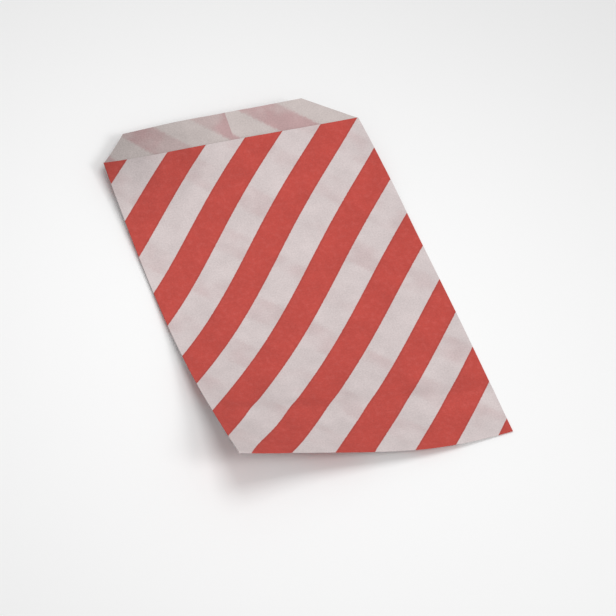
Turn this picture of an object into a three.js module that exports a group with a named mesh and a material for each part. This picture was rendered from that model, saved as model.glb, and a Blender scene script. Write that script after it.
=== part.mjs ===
import * as THREE from "three";

// Paper candy bag lying flat, in millimetres: +Z up, +Y towards the open mouth.
// The origin is the middle of the bag's outline, on the surface that the bag lies on.

// Sheet and flat outline
const PAPER = 0.09;
const BAG_WIDTH = 127;
const PANEL_LENGTH = 175.3;
const LIP_LENGTH = 15.2;
const LIP_CUT_LEFT = 14.2;
const LIP_CUT_RIGHT = 23.5;
const BAG_LENGTH = PANEL_LENGTH + LIP_LENGTH;

// Side folds, bottom flap and glued back seam
const FOLD_REACH = 0.3;
const FLAP_DEPTH = 22;
const FLAP_PLIES = 2;
const FLAP_RAMP = 2.4;
const SEAM_LAP = 11;
const SEAM_OFFSET = 7;
const SEAM_RAMP = 0.9;
const EDGE_SLANT = 0.05;

// Air between the two panels
const GAP_AT_FOLDS = 0.16;
const GAP_IN_MIDDLE = 0.45;
const GAP_AT_MOUTH = 1.1;
const POCKET_START = 0.8;

// Where the paper curls off the surface: the height of the curl, the length that it takes,
// and the angle of the curl's run from the bag's width
const NEAR_CURL = { rise: 22, run: 88, angle: 51 };
const FAR_CURL = { rise: 4.9, run: 83.5, angle: 52 };
const SIDE_CURL = { rise: 2.5, run: 31, angle: 6 };
const MOUTH_CURL = { rise: 5.6, run: 84, angle: 90 };

// Ridge of the front panel over the flap's edge
const RIDGE_RISE = 1.5;
const RIDGE_REACH = 5.5;
const RIDGE_FADE = 12;

// Steps of the surface
const COLUMN_STEP = 6.2;
const ROW_STEP = 6.2;
const FOLD_STEPS = 6;
const END_STEPS = 3;
const LIP_STEPS = 3;

const MIDDLE = BAG_WIDTH / 2;
const SEAM_LEFT = MIDDLE + SEAM_OFFSET - SEAM_LAP / 2;
const SEAM_RIGHT = SEAM_LEFT + SEAM_LAP;
const FLAP_LIFT = FLAP_PLIES * PAPER;

const clamp01 = (value) => Math.min(1, Math.max(0, value));
const smooth = (value) => {
  const s = clamp01(value);
  return s * s * (3 - 2 * s);
};
const mix = (a, b, share) => a + (b - a) * share;
const radians = (degrees) => (degrees * Math.PI) / 180;

// A curl rises as a parabola along its run, so that the paper bends in one direction only.
// It also draws the paper in along the run by what its slope takes up, so the sheet keeps its length.
function curl({ rise, run, angle }, fromSide, fromEnd) {
  const across = Math.cos(radians(angle));
  const along = Math.sin(radians(angle));
  const share = clamp01(1 - (fromSide * across + fromEnd * along) / run);
  const drawn = ((2 * rise * rise) / (3 * run)) * share * share * share;
  return { up: rise * share * share, across: drawn * across, along: drawn * along };
}

// Place of a point of the flat folded bag once the paper has curled
function bent([x, y, z]) {
  const near = curl(NEAR_CURL, x, y);
  const far = curl(FAR_CURL, BAG_WIDTH - x, BAG_LENGTH - y);
  const side = curl(SIDE_CURL, x, BAG_LENGTH - y);
  const mouth = curl(MOUTH_CURL, x, BAG_LENGTH - y);
  return [
    x + near.across + side.across - far.across,
    y + near.along - far.along - side.along - mouth.along,
    z + near.up + far.up + side.up + mouth.up,
  ];
}

// 1 over the glued flap, falling to 0 past its edge
const overFlap = (y, ramp) => 1 - smooth((y - FLAP_DEPTH) / ramp);

// 1 over the lap of the seam, falling to 0 on both sides
const overLap = (x, ramp) =>
  smooth((x - SEAM_LEFT + ramp) / ramp) * (1 - smooth((x - SEAM_RIGHT) / ramp));

// Underside: flat, with a narrow groove at the lap's outer edge and one at the flap's edge
function underside(x, y) {
  const pastFlap = y > FLAP_DEPTH + EDGE_SLANT / 2;
  if (!pastFlap) return 0;
  const flapGroove = FLAP_LIFT * overFlap(y, FLAP_RAMP);
  const beforeLap = x < SEAM_LEFT + EDGE_SLANT / 2;
  const lapGroove = beforeLap ? PAPER * smooth((x - SEAM_LEFT + SEAM_RAMP) / SEAM_RAMP) : 0;
  return flapGroove + lapGroove;
}

// Inner face of the back panel: one ply, two over the lap, raised by the flap under it
function backInside(x, y) {
  const inLap = x < SEAM_RIGHT + EDGE_SLANT / 2;
  const lap = inLap ? smooth((x - SEAM_LEFT + SEAM_RAMP) / SEAM_RAMP) : 0;
  return PAPER * (1 + lap) + FLAP_LIFT * overFlap(y, FLAP_RAMP);
}

// Inner face of the front panel: it follows the back panel more loosely, across the air gap
function frontInside(x, y) {
  const across = Math.sin(Math.PI * clamp01(x / BAG_WIDTH));
  const fromFold = smooth((y - FLAP_DEPTH / 2) / (PANEL_LENGTH / 3));
  const nearMouth = smooth((y - PANEL_LENGTH * 0.6) / (PANEL_LENGTH * 0.4));
  const middle = mix(GAP_AT_FOLDS, mix(GAP_IN_MIDDLE, GAP_AT_MOUTH, nearMouth), fromFold);
  const gap = mix(GAP_AT_FOLDS, middle, across * across);
  const fromSide = Math.min(x, BAG_WIDTH - x);
  const ridge = RIDGE_RISE * Math.exp(-(((y - FLAP_DEPTH) / RIDGE_REACH) ** 2));
  const base = PAPER * (1 + overLap(x, 4 * SEAM_RAMP)) + FLAP_LIFT * overFlap(y, 2 * FLAP_RAMP);
  return base + gap + ridge * smooth(fromSide / RIDGE_FADE);
}

const frontOutside = (x, y) => frontInside(x, y) + PAPER;

// Evenly spaced values with some fixed ones put in; free ones too close to a fixed one go
function stations(start, end, step, fixed) {
  const count = Math.round((end - start) / step);
  const free = Array.from({ length: count + 1 }, (_, i) => mix(start, end, i / count));
  const kept = free.filter(
    (value, i) =>
      i === 0 || i === count || fixed.every((other) => Math.abs(value - other) > step * 0.3)
  );
  return [...kept, ...fixed].sort((a, b) => a - b);
}

const columns = stations(FOLD_REACH, BAG_WIDTH - FOLD_REACH, COLUMN_STEP, [
  SEAM_LEFT - SEAM_RAMP,
  SEAM_LEFT - SEAM_RAMP / 2,
  SEAM_LEFT,
  SEAM_LEFT + EDGE_SLANT,
  SEAM_RIGHT,
  SEAM_RIGHT + EDGE_SLANT,
]);
const rows = stations(POCKET_START, PANEL_LENGTH, ROW_STEP, [
  FLAP_DEPTH - RIDGE_REACH * 1.6,
  FLAP_DEPTH - RIDGE_REACH * 1.1,
  FLAP_DEPTH - RIDGE_REACH * 0.7,
  FLAP_DEPTH - RIDGE_REACH * 0.35,
  FLAP_DEPTH,
  FLAP_DEPTH + EDGE_SLANT,
  FLAP_DEPTH + FLAP_RAMP * 0.35,
  FLAP_DEPTH + FLAP_RAMP * 0.7,
  FLAP_DEPTH + FLAP_RAMP,
  FLAP_DEPTH + FLAP_RAMP + RIDGE_REACH * 0.3,
  FLAP_DEPTH + FLAP_RAMP + RIDGE_REACH * 0.8,
  FLAP_DEPTH + FLAP_RAMP + RIDGE_REACH * 1.3,
]);

// One turn of the tube's wall at a row: over the front, round the right side fold,
// back under the rear panel and round the left side fold
function turn(y, top, bottom, reach, squeeze, shift) {
  const middleOf = (x) => (top(x, y) + bottom(x, y)) / 2;
  const point = (x, level, plan) => {
    return bent([x, y + shift, mix(middleOf(plan), level, squeeze)]);
  };
  const loop = columns.map((x) => point(x, top(x, y), x));
  const side = (plan, outward) => {
    const half = (top(plan, y) - bottom(plan, y)) / 2;
    return Array.from({ length: FOLD_STEPS - 1 }, (_, i) => {
      const angle = (Math.PI * (i + 1)) / FOLD_STEPS;
      const x = plan + outward * reach * Math.sin(angle);
      return point(x, middleOf(plan) + half * Math.cos(angle), plan);
    });
  };
  loop.push(...side(BAG_WIDTH - FOLD_REACH, 1));
  loop.push(...[...columns].reverse().map((x) => point(x, bottom(x, y), x)));
  loop.push(...side(FOLD_REACH, -1).reverse());
  return loop;
}

// The closed end of a turn: it flattens round a half circle to one line across the bag
function closingTurns(start, depth, top, bottom, reach) {
  return Array.from({ length: END_STEPS }, (_, i) => {
    const angle = (Math.PI / 2) * (1 - i / END_STEPS);
    return turn(start, top, bottom, reach, Math.cos(angle), -depth * Math.sin(angle));
  });
}

class Surface {
  constructor() {
    this.points = [];
    this.faces = [];
  }

  add(loop) {
    const first = this.points.length;
    this.points.push(...loop);
    return loop.map((_, i) => first + i);
  }

  quad(a, b, c, d) {
    this.faces.push([a, b, c], [a, c, d]);
  }

  // Skin between two turns; a turn that has flattened to a line shares its points in pairs
  join(one, two, closed = true) {
    const last = closed ? one.length : one.length - 1;
    for (let i = 0; i < last; i += 1) {
      const j = (i + 1) % one.length;
      this.quad(one[i], one[j], two[j], two[i]);
    }
  }
}

// Column of the lip at a share of its length: the outer ones move in along the cut corners
function lipColumn(x, share) {
  const left = mix(FOLD_REACH, LIP_CUT_LEFT, share);
  const right = BAG_WIDTH - mix(FOLD_REACH, LIP_CUT_RIGHT, share);
  const leftEnd = MIDDLE * 0.6;
  const rightEnd = BAG_WIDTH - MIDDLE * 0.6;
  if (x < leftEnd) return mix(left, leftEnd, (x - FOLD_REACH) / (leftEnd - FOLD_REACH));
  if (x > rightEnd) return mix(rightEnd, right, (x - rightEnd) / (BAG_WIDTH - FOLD_REACH - rightEnd));
  return x;
}

function lipRow(share, level) {
  const y = PANEL_LENGTH + LIP_LENGTH * share;
  return columns.map((x) => {
    return bent([lipColumn(x, share), y, level(x, y)]);
  });
}

function candyBag() {
  const surface = new Surface();
  const wall = (top, bottom, reach, depth) => {
    const ends = closingTurns(POCKET_START, depth, top, bottom, reach);
    const body = rows.map((y) => turn(y, top, bottom, reach, 1, 0));
    return [...ends, ...body].map((loop) => surface.add(loop));
  };
  const outer = wall(frontOutside, underside, FOLD_REACH, POCKET_START);
  const inner = wall(frontInside, backInside, FOLD_REACH - PAPER, POCKET_START / 4);
  for (let i = 1; i < outer.length; i += 1) surface.join(outer[i - 1], outer[i]);
  for (let i = 1; i < inner.length; i += 1) surface.join(inner[i], inner[i - 1]);

  // Cut edge of the mouth, round the front and the side folds
  const outerMouth = outer[outer.length - 1];
  const innerMouth = inner[inner.length - 1];
  const backStart = columns.length + FOLD_STEPS - 1;
  const backEnd = backStart + columns.length - 1;
  for (let i = 0; i < outerMouth.length; i += 1) {
    const j = (i + 1) % outerMouth.length;
    const onBack = i >= backStart && i < backEnd;
    if (!onBack) surface.quad(outerMouth[i], outerMouth[j], innerMouth[j], innerMouth[i]);
  }

  // Lip: the back panel runs on past the mouth between its two cut corners
  let under = outerMouth.slice(backStart, backEnd + 1).reverse();
  let over = innerMouth.slice(backStart, backEnd + 1).reverse();
  for (let step = 1; step <= LIP_STEPS; step += 1) {
    const share = step / LIP_STEPS;
    const nextUnder = surface.add(lipRow(share, underside));
    const nextOver = surface.add(lipRow(share, backInside));
    surface.join(nextUnder, under, false);
    surface.join(over, nextOver, false);
    const right = columns.length - 1;
    surface.quad(under[0], over[0], nextOver[0], nextUnder[0]);
    surface.quad(over[right], under[right], nextUnder[right], nextOver[right]);
    under = nextUnder;
    over = nextOver;
  }
  surface.join(over, under, false);
  return surface;
}

// Indexed geometry about the middle of the outline, with points in one place made into one,
// and its faces turned outward
function closedGeometry({ points, faces }) {
  const box = new THREE.Box3().setFromPoints(points.map((point) => new THREE.Vector3(...point)));
  const middle = box.getCenter(new THREE.Vector3());
  const places = new Map();
  const position = [];
  const index = points.map(([x, y, z]) => {
    const place = [x, y, z].map((value) => value.toFixed(4)).join(" ");
    if (!places.has(place)) {
      places.set(place, position.length / 3);
      position.push(x - middle.x, y - middle.y, z);
    }
    return places.get(place);
  });
  const kept = faces
    .map((face) => face.map((i) => index[i]))
    .filter(([a, b, c]) => a !== b && b !== c && c !== a);
  const corner = (i) => new THREE.Vector3().fromArray(position, 3 * i);
  const volume = kept.reduce((sum, [a, b, c]) => sum + corner(a).dot(corner(b).cross(corner(c))), 0);
  const outward = volume > 0 ? kept : kept.map(([a, b, c]) => [a, c, b]);
  const geometry = new THREE.BufferGeometry();
  geometry.setAttribute("position", new THREE.Float32BufferAttribute(position, 3));
  geometry.setIndex(outward.flat());
  geometry.computeVertexNormals();
  return geometry;
}

const paper = new THREE.MeshStandardMaterial({
  name: "bleached_paper",
  color: 0xf2efeb,
  roughness: 0.85,
  metalness: 0,
});

const bag = new THREE.Mesh(closedGeometry(candyBag()), paper);
bag.name = "candy_bag";

const object = new THREE.Group();
object.name = "paper_candy_bag";
object.add(bag);

export default object;
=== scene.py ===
import math

import bmesh
import bpy
import numpy as np
from bpy.props import FloatProperty, FloatVectorProperty, PointerProperty
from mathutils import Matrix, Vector


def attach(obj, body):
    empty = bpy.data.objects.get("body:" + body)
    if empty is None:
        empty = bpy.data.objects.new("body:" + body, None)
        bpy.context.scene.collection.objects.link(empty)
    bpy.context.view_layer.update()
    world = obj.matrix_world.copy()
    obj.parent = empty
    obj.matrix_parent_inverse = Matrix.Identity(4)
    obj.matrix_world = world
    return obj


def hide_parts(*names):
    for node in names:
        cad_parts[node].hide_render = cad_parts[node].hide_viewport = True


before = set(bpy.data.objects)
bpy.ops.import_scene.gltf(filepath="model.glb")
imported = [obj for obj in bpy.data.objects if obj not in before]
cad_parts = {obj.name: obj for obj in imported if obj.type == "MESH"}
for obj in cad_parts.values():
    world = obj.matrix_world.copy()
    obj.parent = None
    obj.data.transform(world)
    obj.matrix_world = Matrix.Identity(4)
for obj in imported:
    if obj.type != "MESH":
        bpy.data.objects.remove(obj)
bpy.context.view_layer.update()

bl_info = {
    "name": "Striped Paper Bag",
    "version": (1, 0, 0),
    "blender": (4, 5, 0),
    "location": "View3D > Sidebar > Paper Bag",
    "description": "Makes a flat striped paper bag, its printed paper and a plain stage",
    "category": "Add Mesh",
}

MM = 0.001
BODY = "root"
NODE = "candy_bag"

# Mesh attributes: the place on the unfolded sheet, and the painted shade that darkens the paper
SHEET = "sheet"
PAINTED_SHADE = "painted_shade"

# Steps round a side fold, rows that close the bottom end, and rows of the lip
FOLD_STEPS = 8
END_STEPS = 5
LIP_ROWS = 11

# The inner wall closes within this share of the bottom fold's reach
INNER_REACH = 0.25

# Samples across and along the bag that place the origin
MIDDLE_COLUMNS = 128
MIDDLE_ROWS = 192

# Evenly spaced points nearer than this share of a step to a fixed one are left out
CLEAR_SHARE = 0.3

# Columns between these shares of the width run straight on into the lip
STRAIGHT_FROM = 0.3
STRAIGHT_TO = 0.7

# Points nearer than this are one, and edges sharper than this are cut edges of the paper
MERGE_DISTANCE = 1e-7
CUT_ANGLE = math.radians(50.0)

# The front panel follows the seam over this many seam ramps, and the flap over this many flap ramps
SEAM_SOFTENING = 4.0
FLAP_SOFTENING = 2.0

# Slow waves of the front panel: weight, turning rates over x and y in radians per metre, and phase
COCKLE_WAVES = (
    (1.0, 95.0, 31.0, 0.4),
    (0.8, -52.0, 74.0, 1.9),
    (0.6, 141.0, -88.0, 3.1),
    (0.5, 37.0, 163.0, 5.0),
)


def measure(name, description, default):
    """A length property in metres."""
    return FloatProperty(
        name=name, description=description, default=default, subtype="DISTANCE", unit="LENGTH"
    )


def angle(name, description, degrees):
    """An angle property, given in degrees."""
    return FloatProperty(
        name=name, description=description, default=math.radians(degrees), subtype="ANGLE", unit="ROTATION"
    )


def share(name, description, default):
    """A property between 0 and 1."""
    return FloatProperty(
        name=name, description=description, default=default, subtype="FACTOR", min=0.0, max=1.0
    )


def colour(name, description, default):
    """A linear colour property."""
    return FloatVectorProperty(
        name=name, description=description, default=default, size=3, subtype="COLOR", min=0.0, max=1.0
    )


def wave(name, description, default):
    """A plane wave: its depth in metres, its turning rates over x and y in radians per metre, its phase."""
    return FloatVectorProperty(name=name, description=description, default=default, size=4)


def place(name, description, default):
    """A place in metres."""
    return FloatVectorProperty(
        name=name, description=description, default=default, size=3, subtype="TRANSLATION", unit="LENGTH"
    )


def power(name, description, default):
    """A lamp's power in watts."""
    return FloatProperty(
        name=name, description=description, default=default, subtype="POWER", unit="POWER", min=0.0
    )


class BagShapeSettings(bpy.types.PropertyGroup):
    """Sizes of the folded sheet"""

    width: measure("Width", "From side fold to side fold", 127 * MM)
    length: measure("Length", "From the bottom fold to the lip's end", 190.5 * MM)
    lip: measure("Lip", "How far the back panel stands past the front one", 15.2 * MM)
    cut_left: measure("Left Cut", "Width of the cut corner at the lip's left", 14.2 * MM)
    cut_right: measure("Right Cut", "Width of the cut corner at the lip's right", 23.5 * MM)
    paper: measure("Paper", "Thickness of the sheet", 0.09 * MM)
    fold: measure("Fold Reach", "How far a side fold's bend reaches in", 0.3 * MM)
    bottom_fold: measure("Bottom Reach", "How far the bottom fold's bend reaches in", 0.8 * MM)
    flap: measure("Flap", "Depth of the bottom flap folded under the back", 22 * MM)
    flap_ramp: measure("Flap Ramp", "Run over which the back panel steps off the flap", 2.4 * MM)
    seam_lap: measure("Seam Lap", "Width of the glued lap on the back", 11 * MM)
    seam_offset: measure("Seam Offset", "The seam's middle from the bag's middle", 7 * MM)
    seam_ramp: measure("Seam Ramp", "Run over which the inner ply climbs on the outer one", 0.9 * MM)
    slant: measure("Edge Slant", "Run of a glued ply's cut edge", 0.05 * MM)
    step: measure("Mesh Step", "Spacing of the surface's points", 1.35 * MM)


class BagCurlSettings(bpy.types.PropertyGroup):
    """Curl of the bag, and the air and waves between its panels"""

    near_rise: measure("Near Curl", "Rise of the bottom fold's left corner", 22 * MM)
    near_run: measure("Near Run", "Length that the near curl takes", 88 * MM)
    near_angle: angle("Near Angle", "Turn of the near curl from the width", 51)
    far_rise: measure("Far Curl", "Rise of the mouth's right corner", 4.9 * MM)
    far_run: measure("Far Run", "Length that the far curl takes", 83.5 * MM)
    far_angle: angle("Far Angle", "Turn of the far curl from the width", 52)
    side_rise: measure("Side Curl", "Rise of the mouth's left corner", 2.5 * MM)
    side_run: measure("Side Run", "Length that the side curl takes", 31 * MM)
    side_angle: angle("Side Angle", "Turn of the side curl from the width", 6)
    mouth_rise: measure("Mouth Curl", "Rise of the mouth's end", 5.6 * MM)
    mouth_run: measure("Mouth Run", "Length that the mouth's curl takes", 84 * MM)
    gap_fold: measure("Gap at Folds", "Air between the panels at the folds", 0.16 * MM)
    gap_middle: measure("Gap in Middle", "Air between the panels in the middle", 0.45 * MM)
    gap_mouth: measure("Gap at Mouth", "Air between the panels at the mouth", 1.1 * MM)
    gap_opening: share("Gap Opening", "Share of the panel over which the gap opens from the flap", 1 / 3)
    gap_widening: share("Gap Widening", "Share of the panel, up to the mouth, where it widens", 0.4)
    ridge: measure("Flap Ridge", "Rise of the front panel over the flap's edge", 1.7 * MM)
    ridge_reach: measure("Ridge Reach", "How far the ridge spreads from its crest", 4.8 * MM)
    ridge_slant: measure("Ridge Slant", "How far past the flap's edge it is at the left fold", 10 * MM)
    ridge_fade: measure("Ridge Fade", "Run over which the ridge fades to a side fold", 12 * MM)
    cockle: measure("Cockle", "Depth of the slow waves in the front panel", 0.35 * MM)
    cockle_side: measure("Cockle Side Fade", "Run over which they fade to a side fold", 18 * MM)
    cockle_end: measure("Cockle End Fade", "Run over which they fade to the bottom fold", 14 * MM)


class BagEdgeSettings(bpy.types.PropertyGroup):
    """How far handling has drawn the folds and the lip from straight"""

    left_in: measure("Left Draw", "How far the left fold is drawn in towards the mouth", 1.0 * MM)
    left_in_run: measure("Left Draw Run", "Length over which it is drawn in", 110 * MM)
    left_out: measure("Left Push", "How far the near left corner is pushed out", 2.1 * MM)
    left_out_run: measure("Left Push Run", "Length over which it is pushed out", 40 * MM)
    right_in: measure("Right Draw", "How far the right fold is drawn in at the mouth", 3.6 * MM)
    right_in_run: measure("Right Draw Run", "Length over which it is drawn in", 50 * MM)
    right_bow: measure("Right Bow", "How far the right fold bows out halfway", 0.9 * MM)
    right_bow_run: measure("Right Bow Run", "Length of the bow from the bottom fold", 150 * MM)
    bottom_wave: measure("Bottom Wave", "Sway of the bottom fold", 1.7 * MM)
    bottom_wave_length: measure("Bottom Wave Length", "Length of that sway", 130 * MM)
    bottom_wave_start: measure("Bottom Wave Start", "How far left of the fold the sway begins", 6 * MM)
    bottom_wave_run: measure("Bottom Wave Run", "How far up the bag the sway fades", 35 * MM)
    lip_in: measure("Lip Draw", "How far the lip is drawn back in line with the left fold", 4.16 * MM)
    lip_in_run: measure("Lip Draw Run", "Width over which it is drawn back", 50 * MM)
    lip_in_lead: measure("Lip Draw Lead", "How far before the mouth the draw begins", 6.08 * MM)


class BagPrintSettings(bpy.types.PropertyGroup):
    """Stripes, paper colours and painted shade"""

    pitch: measure("Pitch", "Distance from stripe to stripe, square to them", 26.37 * MM)
    band: measure("Band", "Width of a red stripe", 13.05 * MM)
    lean: angle("Lean", "Angle that sets the stripes' direction", 44.41)
    start: measure("Start", "Where the first stripe begins", -126.41 * MM)
    sway_shift: measure("Sway Shift", "Even slide of the print, square to the stripes", 0.55 * MM)
    side_sway: wave("Side Sway", "Sway of the print across the bag", (0.9 * MM, -26.8, 21.8, 4.67))
    long_sway: wave("Long Sway", "Sway of the print along the bag", (1.03 * MM, 8.2, -39.8, -1.79))
    slant_sway: wave("Slant Sway", "Sway of the print along the stripes", (0.72 * MM, -30.5, -37.8, -0.39))
    near_shift: measure("Near Shift", "Slide of the print at the near left corner", -2.1 * MM)
    near_reach: measure("Near Reach", "How far that slide spreads", 15 * MM)
    near_inset: measure("Near Inset", "How far from the left fold that slide is greatest", 12 * MM)
    # Painted shade: the paper is darkened at the mouth's left corner and towards the near left corner,
    # standing in for the shade there
    painted_shade_corner: share("Shaded Corner", "Darkening at the mouth's left", 0.40)
    painted_shade_outset: measure("Shaded Outset", "How far left of the fold that darkening is greatest", 8 * MM)
    painted_shade_wide: measure("Shaded Width", "How far that darkening spreads across the bag", 47 * MM)
    painted_shade_long: measure("Shaded Length", "How far that darkening spreads along the bag", 34 * MM)
    painted_shade_bottom: share("Shaded Bottom", "Darkening at the near left corner", 0.12)
    painted_shade_bottom_run: measure("Shaded Bottom Run", "How far that darkening spreads along the bag", 120 * MM)
    red: colour("Red Ink", "Colour of the stripes", (0.489, 0.060, 0.046))
    white: colour("Paper White", "Colour of the bare sheet", (0.622, 0.546, 0.541))
    # Darker than the paper white: painted shade over the sheet's inner face and cut edges
    inside: colour("Inside White", "Colour of the sheet's inner face", (0.558, 0.492, 0.474))
    ghost: colour("Show-through", "Tint of a stripe seen through the sheet", (0.49, 0.33, 0.33))


class StageSettings(bpy.types.PropertyGroup):
    """Floor, lights and camera"""

    floor: colour("Floor", "Colour of the floor", (0.92, 0.92, 0.92))
    floor_size: measure("Floor Size", "Side of the floor", 6.0)
    floor_drop: measure("Floor Drop", "How far the floor lies under the bag", 0.02 * MM)
    world: FloatProperty(name="Sky", description="Strength of the even light", default=0.52, min=0.0)
    key: power("Key Light", "Power of the soft side light", 5.2)
    key_place: place("Key Place", "Where the soft side light hangs", (0.55, -0.75, 0.95))
    key_size: measure("Key Size", "Side of the soft side light", 0.45)
    overhead: power("Overhead Light", "Power of the low lamp", 0.44)
    overhead_place: place("Overhead Place", "Where the low lamp hangs", (-0.03, 0.01, 0.34))
    overhead_size: measure("Overhead Size", "Side of the low lamp", 0.2)
    eye: place("Camera Place", "Where the camera stands", (-0.39277, -0.60679, 0.85777))
    turn: FloatVectorProperty(
        name="Camera Turn", description="The camera's XYZ rotation", subtype="EULER", unit="ROTATION",
        default=tuple(math.radians(a) for a in (38.5582, -10.3276, -20.8778)),
    )
    lens: FloatProperty(
        name="Lens", description="Focal length in millimetres", default=151.95, min=10.0,
        subtype="DISTANCE_CAMERA", unit="CAMERA",
    )


class BagSettings(bpy.types.PropertyGroup):
    """Everything that a user would change"""

    shape: PointerProperty(type=BagShapeSettings)
    curl: PointerProperty(type=BagCurlSettings)
    edges: PointerProperty(type=BagEdgeSettings)
    print: PointerProperty(type=BagPrintSettings)
    stage: PointerProperty(type=StageSettings)


def smooth(value):
    """Eases from 0 to 1: the value is held between 0 and 1, then 3 times its square less 2 times its
    cube."""
    held = np.clip(value, 0.0, 1.0)
    return held * held * (3.0 - 2.0 * held)


def blend(one, two, part):
    """One value at part 0, the other at part 1, and a straight line between them."""
    return one + (two - one) * part


def left_over(distance, run):
    """Squared share of the run that is left after the distance: 1 at its start, 0 from its end on."""
    return np.clip(1.0 - distance / run, 0.0, 1.0) ** 2


class PaperForm:
    """The bag's form and print as formulas over its flat outline, x from the left fold and y from the
    bottom fold."""

    def __init__(self, settings):
        self.shape = settings.shape
        self.curl = settings.curl
        self.edges = settings.edges
        self.print = settings.print
        self.width = self.shape.width
        self.length = self.shape.length
        self.panel = self.length - self.shape.lip
        self.seam_left = (self.width - self.shape.seam_lap) / 2 + self.shape.seam_offset
        self.seam_right = self.seam_left + self.shape.seam_lap
        self.past_seam = self.seam_left + self.shape.slant / 2
        self.past_lap = self.seam_right + self.shape.slant / 2
        self.past_flap = self.shape.flap + self.shape.slant / 2

    def bent(self, x, y, z):
        """Place of the flat folded sheet's points once it has curled. Each curl lifts the paper as a
        parabola, the rise times the squared share of the run that is left, and draws it in along the
        run by two thirds of the rise squared over the run, times that share cubed, which is what the
        slope takes up. The curls are the near left corner, the far right corner, the left side and the
        mouth's end."""
        c = self.curl
        right = self.width - x
        back = self.length - y
        point = [x, y, z]
        for rise, run, turn, side, end, ways in (
            (c.near_rise, c.near_run, c.near_angle, x, y, (1.0, 1.0)),
            (c.far_rise, c.far_run, c.far_angle, right, back, (-1.0, -1.0)),
            (c.side_rise, c.side_run, c.side_angle, x, back, (1.0, -1.0)),
            (c.mouth_rise, c.mouth_run, math.pi / 2, x, back, (1.0, -1.0)),
        ):
            left = np.clip(1.0 - (side * math.cos(turn) + end * math.sin(turn)) / run, 0.0, 1.0)
            drawn = 2.0 * rise * rise / (3.0 * run) * left**3
            point[0] = point[0] + drawn * math.cos(turn) * ways[0]
            point[1] = point[1] + drawn * math.sin(turn) * ways[1]
            point[2] = point[2] + rise * left * left
        return np.stack(point, axis=2)

    def left_line(self, y):
        """Where the left fold runs: eased inward over its run from the bottom, and pushed out at the
        near corner by the squared share that is left of the push's run."""
        e = self.edges
        return e.left_in * smooth(y / e.left_in_run) - e.left_out * left_over(y, e.left_out_run)

    def right_line(self, y):
        """Where the right fold runs: bowed out as half a sine from the bottom, and drawn in towards the
        mouth by the squared share of the last run."""
        e = self.edges
        bow = np.sin(np.pi * np.clip(y / e.right_bow_run, 0.0, 1.0))
        return self.width + e.right_bow * bow - e.right_in * left_over(self.panel - y, e.right_in_run)

    def drifted(self, x, y):
        """Plan of a point on the bag as handled: x runs evenly from the left fold's line to the right
        one's, the bottom fold sways as a sine that fades up the bag, and the lip is drawn back by the
        squared share of the run that is left from the left fold, growing evenly up to its end."""
        e = self.edges
        plan = x + blend(self.left_line(y), self.right_line(y) - self.width, x / self.width)
        turns = 2.0 * np.pi * (x + e.bottom_wave_start) / e.bottom_wave_length
        sway = np.sin(turns) * left_over(y, e.bottom_wave_run)
        late = np.clip((y - self.panel + e.lip_in_lead) / (self.shape.lip + e.lip_in_lead), 0.0, 1.0)
        return plan, y + e.bottom_wave * sway - e.lip_in * left_over(x, e.lip_in_run) * late

    def middle(self):
        """Middle of the curled outline before its sides drift, on the surface: the CAD part's origin."""
        x = np.linspace(0.0, self.width, MIDDLE_COLUMNS)[None, :]
        y = np.linspace(0.0, self.length, MIDDLE_ROWS)[:, None]
        points = self.bent(x + 0.0 * y, y + 0.0 * x, 0.0 * (x + y)).reshape(-1, 3)
        return (points.min(axis=0) + points.max(axis=0)) / 2 * np.array([1.0, 1.0, 0.0])

    def sheet_place(self, across, along, x, y, inside):
        """Place on the unfolded sheet, slid square to the stripes by the print's slow sway: three
        plane waves over the plan and a bell at the near left corner. The third number is 1 on the
        inner face, and the fourth is the painted shade that darkens the paper."""
        p = self.print
        bell = np.exp(-((x - p.near_inset) ** 2 + y**2) / p.near_reach**2)
        sway = p.sway_shift + p.near_shift * bell
        for depth, rate_x, rate_y, phase in (p.side_sway, p.long_sway, p.slant_sway):
            sway = sway + depth * np.sin(rate_x * x + rate_y * y + phase)
        across = across - sway * math.cos(p.lean)
        along = along + sway * math.sin(p.lean)
        return np.stack([across, along, np.full_like(across, float(inside)), self.painted_shade(x, y)], axis=2)

    def painted_shade(self, x, y):
        """Painted shade: how far the paper is darkened, as a bell over the mouth's left corner and an
        eased share at the bottom that fades straight across the width."""
        p = self.print
        wide = (x + p.painted_shade_outset) / p.painted_shade_wide
        long = (y - self.length) / p.painted_shade_long
        corner = np.exp(-(wide**2) - long**2)
        bottom = (1.0 - smooth(y / p.painted_shade_bottom_run)) * (1.0 - x / self.width)
        return p.painted_shade_corner * corner + p.painted_shade_bottom * bottom

    def over_flap(self, y, ramp):
        """1 over the glued flap, easing to 0 within the ramp past its edge."""
        return 1.0 - smooth((y - self.shape.flap) / ramp)

    def into_lap(self, x, ramp):
        """Eases from 0 to 1 over the ramp that ends at the lap's left edge."""
        return smooth((x - self.seam_left + ramp) / ramp)

    def from_sides(self, x, run):
        """0 on the side folds, easing to 1 within the run from either."""
        return smooth(np.minimum(x, self.width - x) / run)

    def underside(self, x, y):
        """Flat at 0, with a groove one ply deep at the lap's edge and one two plies deep at the
        flap's edge."""
        s = self.shape
        flap = 2.0 * s.paper * self.over_flap(y, s.flap_ramp)
        lap = np.where(x < self.past_seam, s.paper * self.into_lap(x, s.seam_ramp), 0.0)
        return np.where(y > self.past_flap, flap + lap, 0.0)

    def back_inside(self, x, y):
        """One ply over the surface, two over the lap, and raised by the flap's two plies."""
        s = self.shape
        lap = np.where(x < self.past_lap, self.into_lap(x, s.seam_ramp), 0.0)
        return s.paper * (1.0 + lap) + 2.0 * s.paper * self.over_flap(y, s.flap_ramp)

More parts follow.
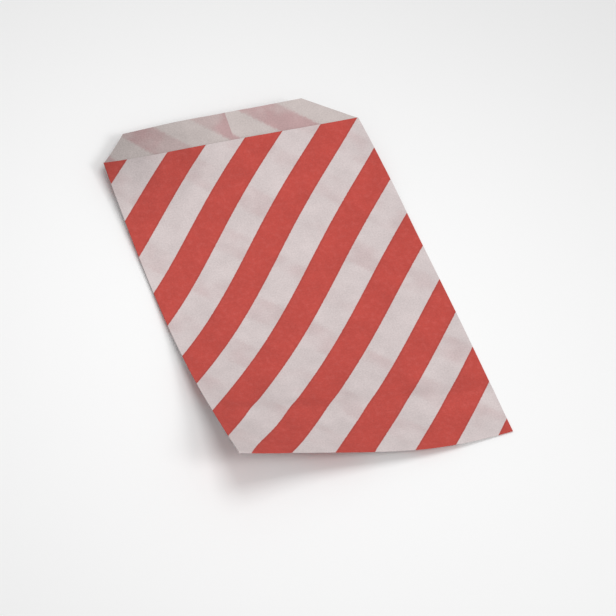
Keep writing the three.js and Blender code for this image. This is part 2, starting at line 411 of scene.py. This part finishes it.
    def cockle(self, x, y):
        """Slow waves: a weighted sum of sines in slanted directions, from 0 to the cockle's depth,
        fading to the folds."""
        c = self.curl
        waves = sum(weight * np.sin(rate_x * x + rate_y * y + phase)
                    for weight, rate_x, rate_y, phase in COCKLE_WAVES)
        highest = sum(weight for weight, *_ in COCKLE_WAVES)
        fade = self.from_sides(x, c.cockle_side) * smooth(y / c.cockle_end)
        return c.cockle * (1.0 + waves / highest) / 2 * fade

    def front_inside(self, x, y):
        """Follows the back panel loosely: the air gap grows as a squared sine from fold to fold and
        towards the mouth, and a low ridge runs over the flap's edge and strays from it to the left."""
        c = self.curl
        s = self.shape
        across = np.sin(np.pi * np.clip(x / self.width, 0.0, 1.0)) ** 2
        from_flap = smooth((y - s.flap / 2) / (self.panel * c.gap_opening))
        near_mouth = smooth((y - self.panel) / (self.panel * c.gap_widening) + 1.0)
        middle = blend(c.gap_fold, blend(c.gap_middle, c.gap_mouth, near_mouth), from_flap)
        gap = blend(c.gap_fold, middle, across)
        ramp = SEAM_SOFTENING * s.seam_ramp
        lap = self.into_lap(x, ramp) * (1.0 - smooth((x - self.seam_right) / ramp))
        crest = s.flap + c.ridge_slant * (1.0 - x / self.width)
        ridge = c.ridge * np.exp(-(((y - crest) / c.ridge_reach) ** 2)) * self.from_sides(x, c.ridge_fade)
        flap = 2.0 * s.paper * self.over_flap(y, FLAP_SOFTENING * s.flap_ramp)
        return s.paper * (1.0 + lap) + flap + gap + ridge + self.cockle(x, y)

    def front_outside(self, x, y):
        """One ply above the front panel's inner face."""
        return self.front_inside(x, y) + self.shape.paper


def stations(start, end, step, fixed):
    """Evenly spaced values from start to end, with the fixed ones put in and near neighbours left out."""
    free = np.linspace(start, end, int(round((end - start) / step)) + 1)
    fixed = np.array(fixed)
    clear = np.abs(free[:, None] - fixed[None, :]).min(axis=1) > step * CLEAR_SHARE
    clear[[0, -1]] = True
    return np.sort(np.concatenate([free[clear], fixed]))


def tube_wall(form, columns, rows, top, bottom, reach, depth, inside):
    """Points and sheet places of one wall of the flat tube. Each row is one turn: the top face, the
    right fold as a half ellipse, the bottom face and the left fold. Rows before the first flatten
    as the cosine of a quarter turn while they move out by the depth times its sine, which closes
    the end. On the sheet the back's two halves lie past the fold that each hangs on, mirrored about
    its line, and the flap's outer face lies before the bottom fold, mirrored about it."""
    quarter = np.pi / 2 * (1.0 - np.arange(END_STEPS) / END_STEPS)
    y = np.concatenate([np.full(END_STEPS, rows[0]), rows])[:, None]
    squeeze = np.concatenate([np.cos(quarter), np.ones(len(rows))])[:, None]
    shift = np.concatenate([-depth * np.sin(quarter), np.zeros(len(rows))])[:, None]
    turn = (np.pi * np.arange(1, FOLD_STEPS) / FOLD_STEPS)[None, :]
    ones = np.ones_like(y)

    def face(x, level):
        """A panel's run across: its level, drawn to the tube's middle height by the squeeze."""
        middle = (top(x, y) + bottom(x, y)) / 2
        return x * ones, blend(middle, level(x, y), squeeze)

    def side(x, outward, angles):
        """A fold's half ellipse: out by the reach times the sine, up by half the gap times the cosine."""
        x = np.full((1, 1), x)
        middle = (top(x, y) + bottom(x, y)) / 2
        half = (top(x, y) - bottom(x, y)) / 2
        return x + outward * reach * np.sin(angles) * ones, middle + half * np.cos(angles) * squeeze

    over = columns[None, :]
    back = columns[None, ::-1]
    runs = [
        face(over, top),
        side(form.width - form.shape.fold, 1.0, turn),
        face(back, bottom),
        side(form.shape.fold, -1.0, turn[:, ::-1]),
    ]
    x = np.concatenate([run[0] for run in runs], axis=1)
    z = np.concatenate([run[1] for run in runs], axis=1)
    x, y_all = form.drifted(x, (y + shift) * np.ones_like(x))

    front_end = len(columns)
    back_start = front_end + FOLD_STEPS - 1
    back_end = back_start + len(columns)
    left_line = form.left_line(y)
    right_line = form.right_line(y)
    back_x = x[:, back_start:back_end]
    along = y_all.copy()
    across_back = 2.0 * np.where(back > form.past_seam, right_line, left_line) - back_x
    if not inside:
        flap = (y <= form.past_flap) * np.ones_like(back, dtype=bool)
        across_back = np.where(flap, back_x, across_back)
        along[:, back_start:back_end] *= np.where(flap, -1.0, 1.0)
    arc = turn / np.pi * 2.0 - 1.0
    across = np.concatenate(
        [x[:, :front_end], right_line + reach * arc, across_back, left_line + reach * arc], axis=1
    )
    return form.bent(x, y_all, z), form.sheet_place(across, along, x, y_all, inside)


def lip_sheet(form, columns, shares, level, inside):
    """Points and sheet places of one face of the lip. Each row is the row of columns with its outer
    ones moved in evenly, so that the two ends run along the cut corners."""
    s = form.shape
    part = shares[:, None]
    x = columns[None, :] * np.ones_like(part)
    low = form.width * STRAIGHT_FROM
    high = form.width * STRAIGHT_TO
    left = blend(s.fold, s.cut_left, part)
    right = form.width - blend(s.fold, s.cut_right, part)
    near = blend(left, low, (x - s.fold) / (low - s.fold))
    far = blend(high, right, (x - high) / (form.width - s.fold - high))
    moved = np.where(x < low, near, np.where(x > high, far, x))
    y = form.panel + s.lip * part * np.ones_like(x)
    z = level(x, y)
    plan, late = form.drifted(moved, y)
    line = np.where(x > form.past_seam, form.right_line(y), form.left_line(y))
    return form.bent(plan, late, z), form.sheet_place(2.0 * line - plan, late, plan, late, inside)


def strip(one, two, closed=False):
    """Four-sided faces between two rows of point numbers."""
    if closed:
        one = np.append(one, one[0])
        two = np.append(two, two[0])
    return np.stack([one[:-1], one[1:], two[1:], two[:-1]], axis=1)


def grid(numbers, closed=False):
    """Four-sided faces over a whole grid of point numbers, row by row."""
    return np.concatenate([strip(a, b, closed) for a, b in zip(numbers[:-1], numbers[1:])])


def bag_mesh(form):
    """The bag's closed skin: the outer wall, the inner wall turned the other way, the cut edge of the
    mouth between them, and the lip with its own cut edges. Returns the points, their sheet places,
    the faces and each face's material number, 0 outside and 1 inside and on the cut edges."""
    s = form.shape
    columns = stations(
        s.fold, form.width - s.fold, s.step,
        [form.seam_left - s.seam_ramp, form.seam_left - s.seam_ramp / 2, form.seam_left,
         form.seam_left + s.slant, form.seam_right, form.seam_right + s.slant],
    )
    off_flap = s.flap + s.flap_ramp * np.array([0.25, 0.5, 0.75, 1.0])
    rows = stations(s.bottom_fold, form.panel, s.step, [s.flap, s.flap + s.slant, *off_flap])
    shares = np.linspace(0.0, 1.0, LIP_ROWS + 1)[1:]
    walls = [
        tube_wall(form, columns, rows, form.front_outside, form.underside,
                  reach=s.fold, depth=s.bottom_fold, inside=False),
        tube_wall(form, columns, rows, form.front_inside, form.back_inside,
                  reach=s.fold - s.paper, depth=s.bottom_fold * INNER_REACH, inside=True),
        lip_sheet(form, columns, shares, form.underside, inside=False),
        lip_sheet(form, columns, shares, form.back_inside, inside=True),
    ]
    sizes = [spots.shape[:2] for spots, _ in walls]
    firsts = np.cumsum([0] + [height * width for height, width in sizes])
    outer, inner, under, over = (
        first + np.arange(height * width).reshape(height, width)
        for first, (height, width) in zip(firsts, sizes)
    )

    count = len(columns)
    back_start = count + FOLD_STEPS - 1
    back_end = back_start + count
    rim = strip(outer[-1], inner[-1], closed=True)
    ring = np.arange(len(rim))
    rim = rim[(ring < back_start) | (ring >= back_end - 1)]
    lip_under = np.vstack([outer[-1][back_start:back_end][::-1], under])
    lip_over = np.vstack([inner[-1][back_start:back_end][::-1], over])
    outside = [grid(outer, closed=True), grid(lip_under)[:, ::-1]]
    inside = [
        grid(inner, closed=True)[:, ::-1],
        grid(lip_over),
        rim,
        strip(lip_under[:, 0], lip_over[:, 0])[:, ::-1],
        strip(lip_under[:, -1], lip_over[:, -1]),
        strip(lip_over[-1], lip_under[-1]),
    ]
    faces = np.concatenate(outside + inside)
    kind = np.ones(len(faces), dtype=np.int32)
    kind[: sum(len(part) for part in outside)] = 0
    points = np.concatenate([spots.reshape(-1, 3) for spots, _ in walls])
    sheets = np.concatenate([sheet.reshape(-1, 4) for _, sheet in walls])
    return points - form.middle(), sheets, faces, kind


def put_mesh(name, points, sheets, faces, kind):
    """A mesh object at the origin, with the sheet's places and the painted shade as attributes. Doubles are
    merged at the closed end, and the faces are turned one way and then outward, where the closed
    skin's volume is positive. Shading is smooth apart from the paper's cut edges."""
    mesh = bpy.data.meshes.new(name)
    mesh.from_pydata(points.tolist(), [], faces.tolist())
    mesh.polygons.foreach_set("material_index", kind)
    sheet = mesh.attributes.new(SHEET, "FLOAT_VECTOR", "POINT")
    sheet.data.foreach_set("vector", sheets[:, :3].astype(np.float32).ravel())
    # Painted shade: the darkening at the mouth's left and near left corners
    painted_shade = mesh.attributes.new(PAINTED_SHADE, "FLOAT", "POINT")
    painted_shade.data.foreach_set("value", sheets[:, 3].astype(np.float32))
    work = bmesh.new()
    work.from_mesh(mesh)
    bmesh.ops.remove_doubles(work, verts=work.verts, dist=MERGE_DISTANCE)
    bmesh.ops.recalc_face_normals(work, faces=work.faces)
    if work.calc_volume(signed=True) < 0.0:
        bmesh.ops.reverse_faces(work, faces=work.faces)
    work.to_mesh(mesh)
    work.free()
    mesh.polygons.foreach_set("use_smooth", np.ones(len(mesh.polygons), dtype=bool))
    mesh.set_sharp_from_angle(angle=CUT_ANGLE)
    mesh.update()
    piece = bpy.data.objects.new(name, mesh)
    bpy.context.scene.collection.objects.link(piece)
    return piece


class Nodes:
    """A short way to add nodes to a tree and join them."""

    def __init__(self, tree):
        self.tree = tree

    def add(self, kind, inputs=None, **settings):
        """A node with its settings; an input is a socket to join or a value to set."""
        node = self.tree.nodes.new(kind)
        for key, value in settings.items():
            setattr(node, key, value)
        for key, value in (inputs or {}).items():
            if isinstance(value, bpy.types.NodeSocket):
                self.tree.links.new(value, node.inputs[key])
            else:
                node.inputs[key].default_value = value
        return node

    def math(self, operation, *values):
        """One sum on one or two values."""
        return self.add("ShaderNodeMath", dict(enumerate(values)), operation=operation).outputs[0]

    def scaled(self, value, factor):
        """A value times a factor."""
        return self.math("MULTIPLY", value, factor)

    def ease(self, value, low, high):
        """0 at low, 1 at high, eased between them and held past them."""
        inputs = {"Value": value, "From Min": low, "From Max": high}
        return self.add("ShaderNodeMapRange", inputs, interpolation_type="SMOOTHSTEP").outputs["Result"]

    def noise(self, vector, scale, detail, roughness=0.5):
        """Soft noise between 0 and 1 at a place."""
        inputs = {"Vector": vector, "Scale": scale, "Detail": detail, "Roughness": roughness}
        return self.add("ShaderNodeTexNoise", inputs).outputs[0]

    def swing(self, noise, reach):
        """A noise moved to swing evenly about 0, times its reach."""
        return self.scaled(self.math("SUBTRACT", noise, 0.5), reach)

    def mix(self, part, one, two, blend_type="MIX"):
        """Two colours blended by a part between 0 and 1. The node's sockets for them are 6 and 7 in,
        and 2 out."""
        inputs = {0: part, 6: one, 7: two}
        return self.add("ShaderNodeMix", inputs, data_type="RGBA", blend_type=blend_type).outputs[2]


def new_group(name, inputs, outputs):
    """An empty shader node group with its named sockets, and its input and output nodes."""
    tree = bpy.data.node_groups.new(name, "ShaderNodeTree")
    for title, kind, default in inputs:
        socket = tree.interface.new_socket(title, in_out="INPUT", socket_type=kind)
        if default is not None:
            socket.default_value = default
    for title, kind in outputs:
        tree.interface.new_socket(title, in_out="OUTPUT", socket_type=kind)
    return tree, Nodes(tree), tree.nodes.new("NodeGroupInput").outputs, tree.nodes.new("NodeGroupOutput")


def stripe_group():
    """Stripes of a sheet place. The place is turned by the lean, counted in pitches, and its
    fraction is red up to the band's share; both edges waver with a fine noise and ease over the
    softness. Rim is a thin line of ink squeezed out just inside both edges."""
    waver_scale = 900.0
    waver_detail = 3.0
    rim_inset = 0.35 * MM
    rim_width = 0.6 * MM
    tree, n, start, end = new_group(
        "Printed Stripes",
        [("Place", "NodeSocketVector", None), ("Pitch", "NodeSocketFloat", 26 * MM),
         ("Band", "NodeSocketFloat", 13 * MM), ("Lean", "NodeSocketFloat", math.pi / 4),
         ("Start", "NodeSocketFloat", 0.0), ("Softness", "NodeSocketFloat", 0.2 * MM),
         ("Waver", "NodeSocketFloat", 0.1 * MM)],
        [("Ink", "NodeSocketFloat"), ("Rim", "NodeSocketFloat")],
    )
    point = n.add("ShaderNodeSeparateXYZ", {0: start["Place"]})
    waver = n.swing(n.noise(start["Place"], waver_scale, waver_detail), start["Waver"])
    along = n.scaled(point.outputs[1], n.math("SINE", start["Lean"]))
    across = n.math("SUBTRACT", n.scaled(point.outputs[0], n.math("COSINE", start["Lean"])), along)
    across = n.math("ADD", n.math("SUBTRACT", across, start["Start"]), waver)
    reach = n.scaled(n.math("FRACT", n.math("DIVIDE", across, start["Pitch"])), start["Pitch"])
    half = n.scaled(start["Band"], 0.5)
    from_middle = n.math("ABSOLUTE", n.math("SUBTRACT", reach, half))
    wrapped = n.math("SUBTRACT", start["Pitch"], from_middle)
    distance = n.math("SUBTRACT", n.math("MINIMUM", from_middle, wrapped), half)
    ink = n.ease(distance, start["Softness"], n.scaled(start["Softness"], -1.0))
    rim = n.ease(n.math("ABSOLUTE", n.math("ADD", distance, rim_inset)), rim_width, 0.0)
    tree.links.new(ink, end.inputs["Ink"])
    tree.links.new(rim, end.inputs["Rim"])
    return tree


def fibre_group():
    """Paper's look. Tone is 1 with cloudy formation and fine specks about it; Height is fine fibre,
    stretched along the sheet, on a slower unevenness."""
    stretch = (1.0, 0.22, 1.0)
    fibre_height = 0.7
    cloud_height = 0.6
    tree, n, start, end = new_group(
        "Paper Fibre",
        [("Place", "NodeSocketVector", None), ("Cloud", "NodeSocketFloat", 0.06),
         ("Speck", "NodeSocketFloat", 0.04)],
        [("Tone", "NodeSocketFloat"), ("Height", "NodeSocketFloat")],
    )
    point = start["Place"]
    cloud = n.noise(point, scale=85.0, detail=4.0, roughness=0.6)
    speck = n.noise(point, scale=1400.0, detail=2.0)
    drawn = n.add("ShaderNodeMapping", {"Vector": point, "Scale": stretch}).outputs[0]
    fibre = n.noise(drawn, scale=2600.0, detail=4.0, roughness=0.7)
    tone = n.math("ADD", n.swing(cloud, start["Cloud"]), n.swing(speck, start["Speck"]))
    height = n.math("ADD", n.scaled(fibre, fibre_height), n.scaled(cloud, cloud_height))
    tree.links.new(n.math("ADD", tone, 1.0), end.inputs["Tone"])
    tree.links.new(height, end.inputs["Height"])
    return tree


def behind(n, point, width):
    """The sheet place on the other panel that lies behind a place: twice the width less its x."""
    part = n.add("ShaderNodeSeparateXYZ", {0: point})
    other = n.math("SUBTRACT", 2.0 * width, part.outputs[0])
    return n.add("ShaderNodeCombineXYZ", {0: other, 1: part.outputs[1], 2: part.outputs[2]}).outputs[0]


def stripes(n, group, point, settings, softness, waver):
    """The stripe group placed in a material with the print's own sizes."""
    inputs = {
        "Place": point, "Pitch": settings.pitch, "Band": settings.band, "Lean": settings.lean,
        "Start": settings.start, "Softness": softness, "Waver": waver,
    }
    return n.add("ShaderNodeGroup", inputs, node_tree=group).outputs


def with_alpha(value):
    """A colour with full alpha, as a colour socket takes it."""
    return (*value, 1.0)


def new_material(name):
    """A material with an empty tree, its Principled shader and its output."""
    material = bpy.data.materials.new(name)
    material.use_nodes = True
    material.node_tree.nodes.clear()
    n = Nodes(material.node_tree)
    shader = n.add("ShaderNodeBsdfPrincipled")
    out = n.add("ShaderNodeOutputMaterial")
    n.tree.links.new(shader.outputs[0], out.inputs["Surface"])
    return material, n, shader


def paper_finish(n, shader, point, base, fibre_tree, cloud, speck, bump_strength, bump_depth):
    """Gives a shader its paper surface: the base colour times the fibre's tone less the painted shade, and
    the fibre's height as a fine bump."""
    fibre = n.add("ShaderNodeGroup", {"Place": point, "Cloud": cloud, "Speck": speck}, node_tree=fibre_tree)
    # Painted shade: darkens the base colour at the mouth's left and near left corners
    painted_shade = n.add("ShaderNodeAttribute", attribute_name=PAINTED_SHADE).outputs["Fac"]
    level = n.math("SUBTRACT", fibre.outputs["Tone"], painted_shade)
    tone = n.add("ShaderNodeCombineColor", {0: level, 1: level, 2: level}).outputs[0]
    n.tree.links.new(n.mix(1.0, base, tone, "MULTIPLY"), shader.inputs["Base Color"])
    inputs = {"Height": fibre.outputs["Height"], "Strength": bump_strength, "Distance": bump_depth}
    n.tree.links.new(n.add("ShaderNodeBump", inputs).outputs[0], shader.inputs["Normal"])


def printed_paper(settings, width, stripe_tree, fibre_tree):
    """Outer face: bare paper and matt red ink, with the other panel's stripes faint in the white. The
    ink is paler in worn patches and darker along its rims, and a little smoother than the paper."""
    through_strength = 0.36
    worn_strength = 0.38
    rim_strength = 0.35
    worn_gain = 1.15
    worn_lift = 0.05
    rim_shade = 0.62
    paper_roughness = 0.84
    ink_smoothness = 0.18

    material, n, shader = new_material("printed_paper")
    point = n.add("ShaderNodeAttribute", attribute_name=SHEET).outputs["Vector"]
    ink = stripes(n, stripe_tree, point, settings, softness=0.14 * MM, waver=0.4 * MM)
    through = stripes(n, stripe_tree, behind(n, point, width), settings, softness=1.6 * MM, waver=4 * MM)
    patchy = n.ease(n.noise(point, scale=55.0, detail=2.0), low=0.35, high=0.7)
    ghost = n.scaled(through["Ink"], n.scaled(patchy, through_strength))
    white = n.mix(ghost, with_alpha(settings.white), with_alpha(settings.ghost))
    worn = n.ease(n.noise(point, scale=420.0, detail=5.0, roughness=0.65), low=0.42, high=0.78)
    worn_red = tuple(min(1.0, c * worn_gain + worn_lift) for c in settings.red)
    rim_red = tuple(c * rim_shade for c in settings.red)
    red = n.mix(n.scaled(worn, worn_strength), with_alpha(settings.red), with_alpha(worn_red))
    red = n.mix(n.scaled(ink["Rim"], rim_strength), red, with_alpha(rim_red))
    base = n.mix(ink["Ink"], white, red)
    paper_finish(n, shader, point, base, fibre_tree, cloud=0.34, speck=0.36,
                 bump_strength=0.35, bump_depth=0.06 * MM)
    rough = n.math("SUBTRACT", paper_roughness, n.scaled(ink["Ink"], ink_smoothness))
    n.tree.links.new(rough, shader.inputs["Roughness"])
    shader.inputs["Specular IOR Level"].default_value = 0.3
    return material


def bare_paper(settings, stripe_tree, fibre_tree):
    """Inner face and cut edges: uncoated paper with the print behind it showing through softly, more
    strongly in patches."""
    through_least = 0.45
    through_patch = 0.6

    material, n, shader = new_material("bare_paper")
    point = n.add("ShaderNodeAttribute", attribute_name=SHEET).outputs["Vector"]
    through = stripes(n, stripe_tree, point, settings, softness=1.1 * MM, waver=3 * MM)
    patchy = n.ease(n.noise(point, scale=70.0, detail=3.0), low=0.35, high=0.65)
    strength = n.math("ADD", through_least, n.scaled(patchy, through_patch))
    ghost = n.scaled(through["Ink"], strength)
    # The inner face's colour is darker than the paper white: painted shade
    base = n.mix(ghost, with_alpha(settings.inside), with_alpha(settings.ghost))
    paper_finish(n, shader, point, base, fibre_tree, cloud=0.34, speck=0.36,
                 bump_strength=0.45, bump_depth=0.07 * MM)
    shader.inputs["Roughness"].default_value = 0.86
    shader.inputs["Specular IOR Level"].default_value = 0.25
    return material


def put_floor(scene, settings):
    """A plain square floor, just under the bag."""
    half = settings.floor_size / 2
    corners = [(-half, -half, 0), (half, -half, 0), (half, half, 0), (-half, half, 0)]
    mesh = bpy.data.meshes.new("floor")
    mesh.from_pydata(corners, [], [(0, 1, 2, 3)])
    floor = bpy.data.objects.new("floor", mesh)
    floor.location.z = -settings.floor_drop
    scene.collection.objects.link(floor)
    material, _, shader = new_material("floor_paint")
    shader.inputs["Base Color"].default_value = with_alpha(settings.floor)
    shader.inputs["Roughness"].default_value = 0.9
    mesh.materials.append(material)


def put_sky(scene, settings):
    """Even white light from all round."""
    world = bpy.data.worlds.new("studio")
    world.use_nodes = True
    sky = world.node_tree.nodes["Background"]
    sky.inputs["Color"].default_value = (1.0, 1.0, 1.0, 1.0)
    sky.inputs["Strength"].default_value = settings.world
    scene.world = world


def put_light(scene, name, spot, aim, size, watts):
    """A square soft light at a spot, turned to its aim and unseen by the camera."""
    data = bpy.data.lights.new(name, "AREA")
    data.shape = "SQUARE"
    data.size = size
    data.energy = watts
    light = bpy.data.objects.new(name, data)
    light.location = spot
    light.rotation_mode = "QUATERNION"
    light.rotation_quaternion = (Vector(aim) - Vector(spot)).to_track_quat("-Z", "Y")
    light.visible_camera = False
    scene.collection.objects.link(light)


def put_camera(scene, settings):
    """The camera at the photo's viewing angle."""
    data = bpy.data.cameras.new("camera")
    data.lens = settings.lens
    data.sensor_width = 36.0
    data.clip_start = 0.05
    data.clip_end = 20.0
    camera = bpy.data.objects.new("camera", data)
    camera.location = settings.eye
    camera.rotation_euler = settings.turn
    scene.collection.objects.link(camera)
    scene.camera = camera


class BAG_OT_fold_sheet(bpy.types.Operator):
    """Makes the folded paper bag and dresses it in printed paper"""

    bl_idname = "paper_bag.fold_sheet"
    bl_label = "Fold the Bag"
    bl_options = {"REGISTER", "UNDO"}

    def execute(self, context):
        settings = context.scene.paper_bag
        form = PaperForm(settings)
        piece = put_mesh("printed_bag", *bag_mesh(form))
        stripe_tree = stripe_group()
        fibre_tree = fibre_group()
        outside = printed_paper(settings.print, form.width, stripe_tree, fibre_tree)
        inside = bare_paper(settings.print, stripe_tree, fibre_tree)
        piece.data.materials.append(outside)
        piece.data.materials.append(inside)
        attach(piece, BODY)
        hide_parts(NODE)
        return {"FINISHED"}


class BAG_OT_set_stage(bpy.types.Operator):
    """Sets the pale floor, the soft studio light and the camera"""

    bl_idname = "paper_bag.set_stage"
    bl_label = "Set the Stage"
    bl_options = {"REGISTER", "UNDO"}

    def execute(self, context):
        scene = context.scene
        settings = scene.paper_bag.stage
        middle = (0.0, 0.0, 0.0)
        below = (settings.overhead_place[0], settings.overhead_place[1], 0.0)
        put_floor(scene, settings)
        put_sky(scene, settings)
        put_light(scene, "key_light", settings.key_place, middle, settings.key_size, settings.key)
        put_light(scene, "overhead_light", settings.overhead_place, below, settings.overhead_size,
                  settings.overhead)
        put_camera(scene, settings)
        scene.view_settings.view_transform = "Standard"
        return {"FINISHED"}


class BAG_PT_sidebar(bpy.types.Panel):
    """Lists the bag's steps and settings"""

    bl_idname = "BAG_PT_sidebar"
    bl_label = "Paper Bag"
    bl_space_type = "VIEW_3D"
    bl_region_type = "UI"
    bl_category = "Paper Bag"

    def draw(self, context):
        settings = context.scene.paper_bag
        for operator in OPERATORS:
            self.layout.operator(operator.bl_idname)
        for group in (settings.shape, settings.curl, settings.edges, settings.print, settings.stage):
            box = self.layout.box()
            for key in group.__annotations__:
                box.prop(group, key)


OPERATORS = (BAG_OT_fold_sheet, BAG_OT_set_stage)
CLASSES = (
    BagShapeSettings,
    BagCurlSettings,
    BagEdgeSettings,
    BagPrintSettings,
    StageSettings,
    BagSettings,
    *OPERATORS,
    BAG_PT_sidebar,
)


def register():
    """Adds the classes, and the settings to every scene."""
    for cls in CLASSES:
        bpy.utils.register_class(cls)
    bpy.types.Scene.paper_bag = PointerProperty(type=BagSettings)


def unregister():
    """Takes away the settings, and the classes in the opposite order."""
    del bpy.types.Scene.paper_bag
    for cls in reversed(CLASSES):
        bpy.utils.unregister_class(cls)


def main():
    """Makes the bag and its stage."""
    register()
    bpy.ops.paper_bag.fold_sheet()
    bpy.ops.paper_bag.set_stage()


if __name__ == "__main__":
    main()
